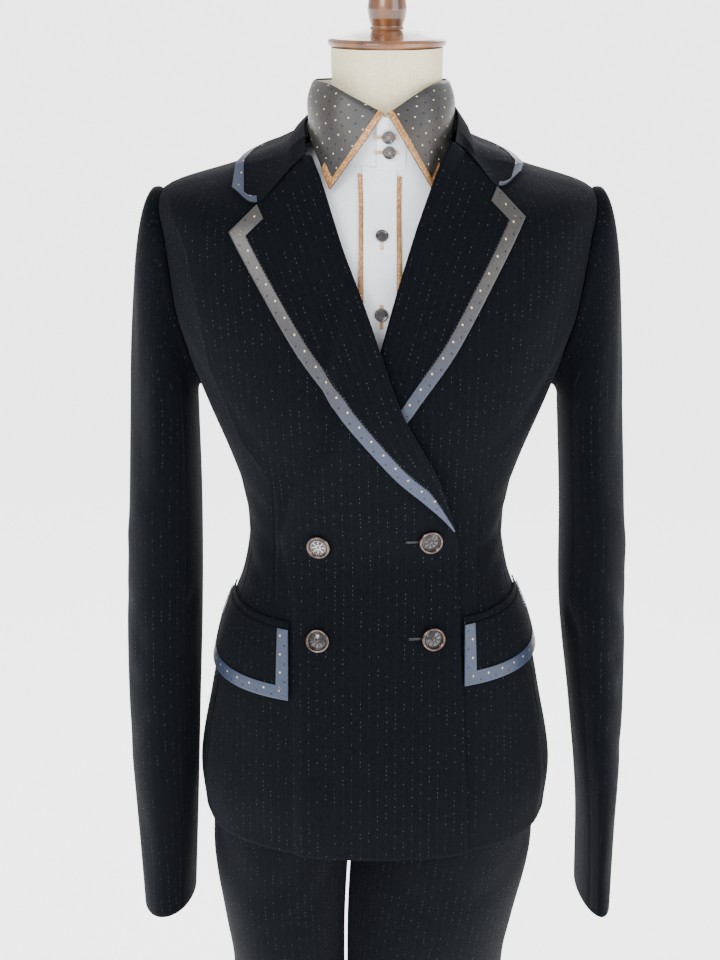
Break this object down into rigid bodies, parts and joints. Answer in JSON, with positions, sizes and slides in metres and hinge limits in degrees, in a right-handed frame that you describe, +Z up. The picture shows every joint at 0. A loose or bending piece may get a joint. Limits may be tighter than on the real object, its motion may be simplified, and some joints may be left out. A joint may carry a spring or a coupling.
{
  "type": "showmanship suit on a limbless dress form",
  "caption": "Double-breasted show jacket with dotted satin trim, trousers and a collared shirt, worn by a limbless dress form on a round base.",
  "frame": {"origin": "middle of the underside of the dress form's round base", "axes": "+Z up along the pole, -Y to the front of the suit, +X to the wearer's left"},
  "size_m": [0.4705, 0.36, 1.575],
  "materials": {
    "suiting": "near-black navy wool blend with fine silver-fleck pinstripes",
    "satin": "dotted satin trim, taupe grey to slate blue",
    "shirting": "fine white shirting",
    "collar_satin": "taupe grey dotted satin",
    "piping": "copper piping with a fine glitter",
    "button_metal": "polished copper-gunmetal rim with a dark recess",
    "button_smoke": "smoked grey four-hole button",
    "linen": "cream linen stretched over the form",
    "wood": "varnished honey-brown wood"
  },
  "bodies": {
    "root": {"jacket_left_front": "suiting", "jacket_right_front": "suiting", "jacket_left_back": "suiting", "jacket_right_back": "suiting", "jacket_left_side_panel": "suiting", "jacket_right_side_panel": "suiting", "jacket_left_lapel": "suiting", "jacket_right_lapel": "suiting", "jacket_collar": "suiting", "jacket_collar_stand": "suiting", "left_top_sleeve": "suiting", "left_under_sleeve": "suiting", "right_top_sleeve": "suiting", "right_under_sleeve": "suiting", "left_pocket_flap": "suiting", "right_pocket_flap": "suiting", "left_pocket_welt": "suiting", "right_pocket_welt": "suiting", "trouser_left_front": "suiting", "trouser_left_back": "suiting", "trouser_right_front": "suiting", "trouser_right_back": "suiting", "trouser_waistband": "suiting", "left_lapel_band": "satin", "right_lapel_band": "satin", "collar_band": "satin", "left_flap_band": "satin", "right_flap_band": "satin", "shirt_back": "shirting", "shirt_left_front": "shirting", "shirt_right_front": "shirting", "shirt_placket": "shirting", "shirt_collar_stand": "shirting", "shirt_collar": "collar_satin", "shirt_collar_left_piping": "piping", "shirt_collar_right_piping": "piping", "placket_left_stripe": "piping", "placket_right_stripe": "piping", "jacket_upper_left_button": "button_metal", "jacket_upper_right_button": "button_metal", "jacket_lower_left_button": "button_metal", "jacket_lower_right_button": "button_metal", "shirt_button_1": "button_smoke", "shirt_button_2": "button_smoke", "shirt_button_3": "button_smoke", "shirt_button_4": "button_smoke", "form_torso": "linen", "form_neck_cap": "wood", "form_pole": "wood", "form_base": "wood"}
  },
  "joints": []
}
